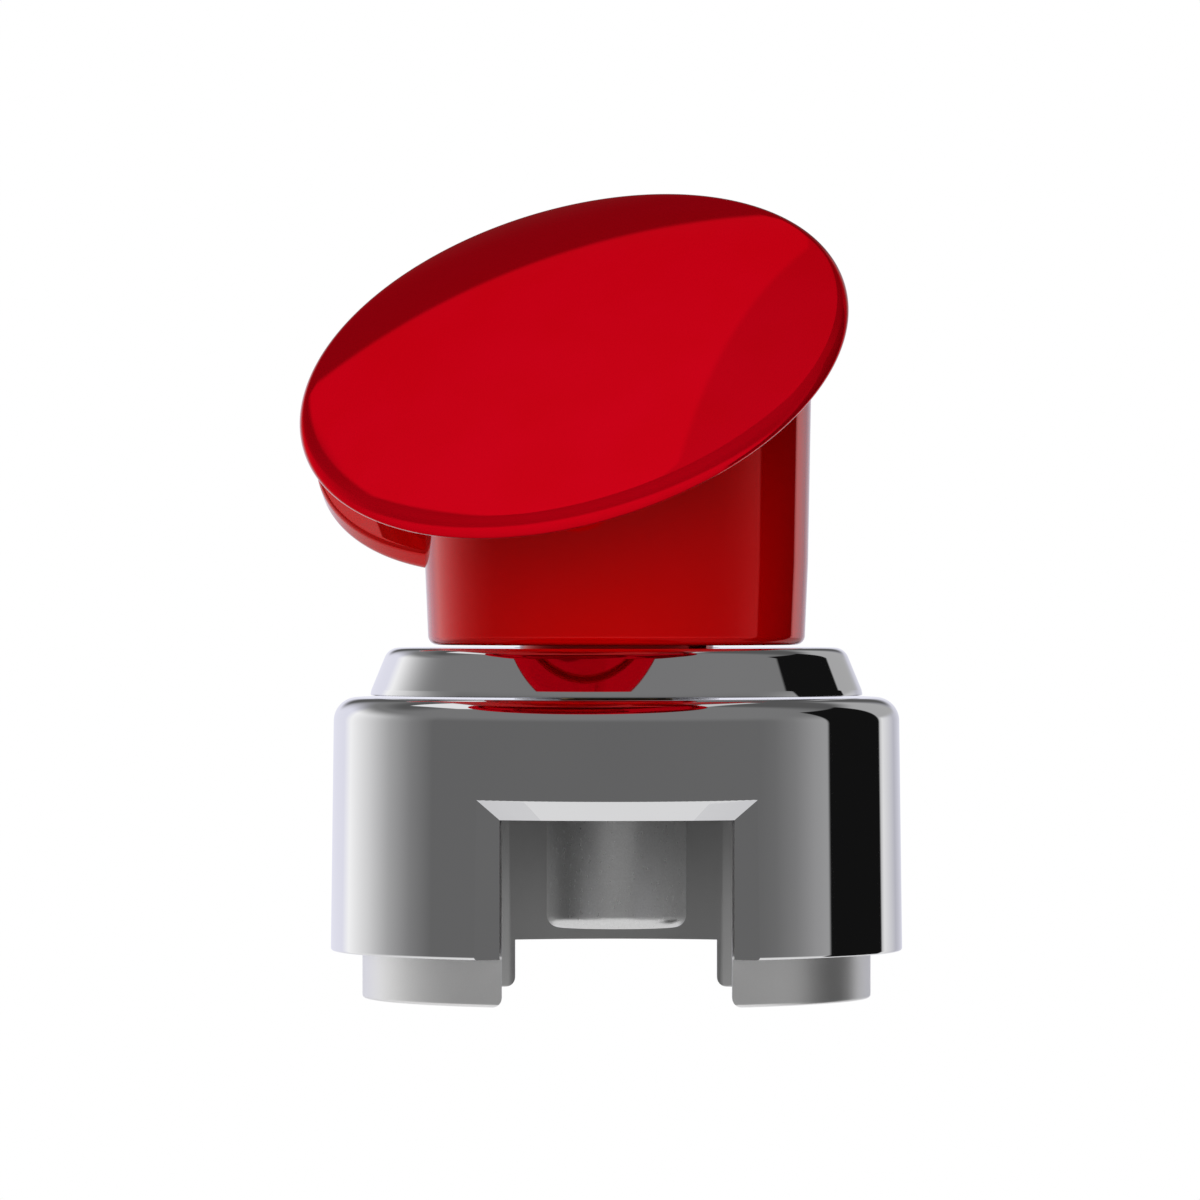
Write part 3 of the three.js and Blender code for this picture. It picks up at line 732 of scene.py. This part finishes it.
def make_seat_screws():
    edge, tip, tip_radius, head_wall = 0.5, 0.4, 0.6, 0.3
    recess_long, recess_wide, recess_depth, above = 1.2, 0.22, 0.45, 1.0
    profile = [
        (0, SEAT_SCREW_FOOT),
        (tip_radius, SEAT_SCREW_FOOT),
        (SEAT_SCREW_SHANK, SEAT_SCREW_FOOT + tip),
        (SEAT_SCREW_SHANK, SEAT_SCREW_SEAT),
        (SEAT_SCREW_HEAD, SEAT_SCREW_SEAT),
        (SEAT_SCREW_HEAD, SEAT_SCREW_SEAT + head_wall),
        *arc((SEAT_SCREW_HEAD - edge, SEAT_SCREW_TOP - edge), edge, 0, 90, 4),
        (0, SEAT_SCREW_TOP),
    ]
    for number, angle in ((1, SEAT_SCREW_START), (2, SEAT_SCREW_START + 180)):
        turn = math.radians(angle)
        place = leaned_centre(SEAT_FOOT) + Vector((math.cos(turn), math.sin(turn))) * SEAT_SCREW_CIRCLE
        screw = turned(f"seat_screw_head_{number}", profile, 48, FACE_MATRIX, place)
        for side, (length, width) in enumerate(((recess_long, recess_wide), (recess_wide, recess_long))):
            corners = ((-length, -width), (length, -width), (length, width), (-length, width))
            outline = [(place.x + x, place.y + y) for x, y in corners]
            floor, top = SEAT_SCREW_TOP - recess_depth, SEAT_SCREW_TOP + above
            recess = prism(f"recess_{number}_{side}", outline, floor, top, FACE_MATRIX)
            combine(screw, recess, "DIFFERENCE")
        finish_piece(screw, "steel", "head", f"seat_screw_{number}")


def make_battery_door():
    edge = 0.3
    profile = [
        (0, FLANGE_FOOT),
        *arc((DOOR_RADIUS - edge, FLANGE_FOOT + edge), edge, -90, 0, 4),
        (DOOR_RADIUS, DOOR_TOP),
        (0, DOOR_TOP),
    ]
    door = turned("battery_door_turned", profile, 160, FACE_MATRIX, DOOR_CENTRE)
    half_length, half_width = DOOR_SLOT_LENGTH / 2, DOOR_SLOT_WIDTH / 2
    straight = half_length - half_width
    outline = [
        *arc((DOOR_CENTRE[0] + straight, DOOR_CENTRE[1]), half_width, -90, 90, 8),
        *arc((DOOR_CENTRE[0] - straight, DOOR_CENTRE[1]), half_width, 90, 270, 8),
    ]
    slot = prism("coin_slot", outline, FLANGE_FOOT - 1, FLANGE_FOOT + DOOR_SLOT_DEPTH, FACE_MATRIX)
    combine(door, slot, "DIFFERENCE")
    finish_piece(door, "red", "head", "battery_door")


# ---------- press cap ----------
CAP_RADIUS, CAP_SHOULDER, CAP_UNDER, CAP_CROWN = 29.3, 1.6, 1.0, 110.0
CAP_RECESS, CAP_CEILING = 25.8, 0.6
CAP_HUB_RADIUS, CAP_HUB_FOOT, CAP_HUB_BORE, CAP_HUB_BORE_TOP = 7.0, -2.4, 3.25, 2.6
STEM_RADIUS, STEM_FOOT, STEM_TOP = 3.0, -16.0, 2.3


def make_press_cap():
    """A shallow dome meets the rounded rim without a crease."""
    rim_centre = CAP_RADIUS - CAP_SHOULDER
    rim_tilt = math.asin(rim_centre / (CAP_CROWN - CAP_SHOULDER))
    crown_y = (CAP_SHOULDER - CAP_CROWN) * math.cos(rim_tilt)
    crown_end = 90 - math.degrees(rim_tilt)
    edge = 0.3
    profile = [
        *arc((0, crown_y), CAP_CROWN, 90, crown_end, 40),
        *arc((rim_centre, 0), CAP_SHOULDER, crown_end, 0, 14)[1:],
        *arc((CAP_RADIUS - CAP_UNDER, 0), CAP_UNDER, 0, -90, 10)[1:],
        *arc((CAP_RECESS + edge, -CAP_UNDER + edge), edge, -90, -180, 4),
        (CAP_RECESS, CAP_CEILING - edge),
        *arc((CAP_RECESS - edge, CAP_CEILING - edge), edge, 0, 90, 4),
        (CAP_HUB_RADIUS + 0.6, CAP_CEILING),
        (CAP_HUB_RADIUS, CAP_CEILING - edge),
        (CAP_HUB_RADIUS, CAP_HUB_FOOT + 0.2),
        (CAP_HUB_RADIUS - 0.2, CAP_HUB_FOOT),
        (CAP_HUB_BORE, CAP_HUB_FOOT),
        (CAP_HUB_BORE, CAP_HUB_BORE_TOP),
        (0, CAP_HUB_BORE_TOP),
    ]
    finish_piece(turned("press_cap_disc", profile, 400, FACE_MATRIX), "red", "cap", "press_cap")


def make_cap_stem():
    edge = 0.3
    profile = [
        (0, STEM_FOOT),
        (STEM_RADIUS - edge, STEM_FOOT),
        (STEM_RADIUS, STEM_FOOT + edge),
        (STEM_RADIUS, STEM_TOP - edge),
        (STEM_RADIUS - edge, STEM_TOP),
        (0, STEM_TOP),
    ]
    finish_piece(turned("cap_stem_turned", profile, 96, FACE_MATRIX), "steel", "cap", "cap_stem")


def dress_inner_nodes():
    """The inner CAD pieces keep their shape and take a worked material."""
    looks = {
        "swivel_bush": "bronze",
        "glide_washer": "white_plastic",
        "sounder_case": "black_plastic",
        "piezo_ring": "sheet_brass",
        "board_block": "black_plastic",
        "swivel_spindle": "steel",
        "spindle_nut": "steel",
        "nut_washer": "steel",
        "battery_holder": "black_plastic",
        "coin_cell": "steel",
        "circuit_board": "board",
        "switch_body": "black_plastic",
        "driver_chip": "black_plastic",
        "stem_clip": "steel",
    }
    for name, look in looks.items():
        node = frame["nodes"][name]
        node.data.materials.clear()
        node.data.materials.append(MATERIALS[look])


# ---------- studio ----------
def wall_ramp(nodes, turn, stops):
    """Wall tones by how far the wall is turned away from the front, in degrees."""
    node = nodes.add("ShaderNodeValToRGB")
    nodes.feed(node, "Fac", nodes.math("DIVIDE", turn, 180.0))
    elements = node.color_ramp.elements
    while len(elements) < len(stops):
        elements.new(0.5)
    for element, (degrees, colour) in zip(elements, stops):
        element.position = degrees / 180.0
        element.color = colour
    return node.outputs["Color"]


def add_upper_room(nodes, colour, azimuth, turn, elevation, left_wall):
    """Above the walls the room is a soft grey, brighter at the sides and dark behind the softbox."""
    colour = nodes.blend(nodes.step(elevation, 8.0, 30.0), colour, grey(0.20))
    left_side = nodes.between(azimuth, -156.0, -100.0, 10.0)
    left_tone = nodes.blend(nodes.step(elevation, 14.0, 30.0), left_wall, grey(0.20))
    colour = nodes.blend(left_side, colour, left_tone)
    right_side = nodes.between(azimuth, 134.0, 162.0, 6.0)
    right_part = nodes.math("MULTIPLY", right_side, nodes.step(elevation, 4.0, 10.0))
    colour = nodes.blend(right_part, colour, grey(0.42))
    back_band = nodes.math("MULTIPLY", nodes.step(elevation, 6.0, 14.0), nodes.step(turn, 158.0, 168.0))
    colour = nodes.blend(back_band, colour, grey(0.10))
    behind_softbox = nodes.math("MULTIPLY", nodes.step(elevation, 30.0, 40.0), nodes.step(turn, 100.0, 130.0))
    return nodes.blend(behind_softbox, colour, grey(0.10))


def add_softbox(nodes, colour, x, y, z):
    """Overhead softbox with sharp edges and a dimmer right-hand panel, on a level ceiling."""
    height = nodes.math("MAXIMUM", z, 0.02)
    across = nodes.math("DIVIDE", x, height)
    along = nodes.math("DIVIDE", y, height)
    panel_edge = nodes.math("ADD", nodes.math("MULTIPLY", along, 0.30), -0.1745)
    past_edge = nodes.math("SUBTRACT", across, panel_edge)
    softbox = nodes.blend(nodes.step(past_edge, -0.006, 0.006), grey(0.86), grey(0.60))
    slanted_edge = nodes.math("SUBTRACT", nodes.math("MULTIPLY", along, -0.6), 0.61)
    left_edge = nodes.math("MAXIMUM", slanted_edge, -0.73)
    reach = nodes.math("MULTIPLY", nodes.step(along, -0.22, -0.18), nodes.step(along, 0.885, 0.845))
    past_left = nodes.step(nodes.math("SUBTRACT", across, left_edge), -0.02, 0.02)
    reach = nodes.math("MULTIPLY", reach, past_left)
    reach = nodes.math("MULTIPLY", reach, nodes.step(across, 0.34, 0.30))
    overhead = nodes.step(z, 0.1, 0.12)
    return nodes.blend(nodes.math("MULTIPLY", reach, overhead), colour, softbox)


def add_black_card(nodes, colour, azimuth, elevation):
    across = nodes.between(azimuth, 95.5, 134.5, 2.0)
    up = nodes.between(elevation, -40.0, 38.0, 2.0)
    return nodes.blend(nodes.math("MULTIPLY", across, up), colour, grey(0.0066))


def make_world():
    """Soft studio: grey room in front, bright back and top, one black card on the right."""
    world = bpy.data.worlds.new("studio")
    bpy.context.scene.world = world
    world.use_nodes = True
    nodes = Nodes(world.node_tree)
    place = nodes.add("ShaderNodeTexCoord")
    split = nodes.add("ShaderNodeSeparateXYZ")
    nodes.feed(split, "Vector", place.outputs["Generated"])
    x, y, z = split.outputs
    forward = nodes.math("MULTIPLY", y, -1.0)
    azimuth = nodes.math("DEGREES", nodes.math("ARCTAN2", x, forward))
    elevation = nodes.math("DEGREES", nodes.math("ARCSINE", z))
    right = nodes.math("GREATER_THAN", azimuth, 0.0)
    turn = nodes.math("ABSOLUTE", azimuth)

    cool_white = (0.80, 0.80, 0.90, 1)
    left_wall = wall_ramp(nodes, turn, [
        (0, grey(0.14)), (80, grey(0.14)), (92, grey(0.23)), (105, grey(0.40)),
        (120, grey(0.70)), (138, grey(1.0)), (146, cool_white), (180, cool_white),
    ])
    right_wall = wall_ramp(nodes, turn, [
        (0, grey(0.14)), (60, grey(0.145)), (67, grey(0.162)), (77, grey(0.22)),
        (87, grey(0.315)), (93, grey(0.35)), (134, grey(0.45)), (138, grey(0.82)),
        (154, (0.50, 0.50, 0.56, 1)), (180, cool_white),
    ])
    colour = nodes.blend(right, left_wall, right_wall)
    colour = add_upper_room(nodes, colour, azimuth, turn, elevation, left_wall)
    colour = add_softbox(nodes, colour, x, y, z)
    bright_sweep = nodes.step(elevation, -6.0, -22.0)
    colour = nodes.blend(bright_sweep, colour, grey(0.78))
    colour = add_black_card(nodes, colour, azimuth, elevation)

    sight = nodes.add("ShaderNodeLightPath")
    colour = nodes.blend(sight.outputs["Is Diffuse Ray"], colour, grey(0.10))
    colour = nodes.blend(sight.outputs["Is Camera Ray"], colour, grey(1.0))
    background = nodes.add("ShaderNodeBackground")
    nodes.feed(background, "Color", colour)
    output = nodes.add("ShaderNodeOutputWorld")
    nodes.tree.links.new(background.outputs["Background"], output.inputs["Surface"])


def make_floor():
    """A plain pale floor, plain white to the camera and left out of the object's reflections."""
    radius, thickness = 420.0, 4.0
    top = -BASE_DROP
    foot = top - thickness
    floor = turned("floor", [(0, foot), (radius, foot), (radius, top), (0, top)], 96)
    material = bpy.data.materials.new("pale_floor")
    material.use_nodes = True
    nodes = Nodes(material.node_tree)
    matt = nodes.add("ShaderNodeBsdfDiffuse")
    nodes.feed(matt, "Color", grey(0.75))
    glow = nodes.add("ShaderNodeEmission")
    nodes.feed(glow, "Color", grey(1.0))
    nodes.feed(glow, "Strength", 1.0)
    sight = nodes.add("ShaderNodeLightPath")
    mix = nodes.add("ShaderNodeMixShader")
    nodes.feed(mix, 0, sight.outputs["Is Camera Ray"])
    nodes.tree.links.new(matt.outputs["BSDF"], mix.inputs[1])
    nodes.tree.links.new(glow.outputs["Emission"], mix.inputs[2])
    output = nodes.add("ShaderNodeOutputMaterial")
    nodes.tree.links.new(mix.outputs["Shader"], output.inputs["Surface"])
    floor.data.materials.append(material)
    floor.visible_glossy = False


def make_front_light():
    """A broad frontal fill that brightens the lacquer and the satin metal without a highlight."""
    strength, spread, tip, turn = 2.6, 50, 84, -6
    data = bpy.data.lights.new("front_fill", "SUN")
    data.energy = strength
    data.angle = math.radians(spread)
    light = bpy.data.objects.new("front_fill", data)
    light.rotation_euler = (math.radians(tip), 0, math.radians(turn))
    light.visible_glossy = False
    bpy.context.scene.collection.objects.link(light)


def make_camera():
    """A long lens, level with the object's middle and straight in front of it."""
    distance, aside, height = 870.5, -1.75, 42.1
    data = bpy.data.cameras.new("camera")
    data.sensor_width = 36.0
    data.lens = 246.0
    data.clip_start = 0.01
    data.clip_end = 10.0
    camera = bpy.data.objects.new("camera", data)
    camera.location = Vector((aside, -distance, height - BASE_DROP)) * MM
    camera.rotation_euler = (math.pi / 2, 0, 0)
    bpy.context.scene.collection.objects.link(camera)
    bpy.context.scene.camera = camera


bpy.context.scene.view_settings.view_transform = "Standard"
make_camera()
make_world()
make_floor()
make_front_light()
make_skirt()
make_collar()
make_cup()
make_boss()
make_ballast()
make_base_screws()
make_head_shell()
make_seat_plate()
make_stem_bush()
make_bumper()
make_seat_screws()
make_battery_door()
make_press_cap()
make_cap_stem()
dress_inner_nodes()
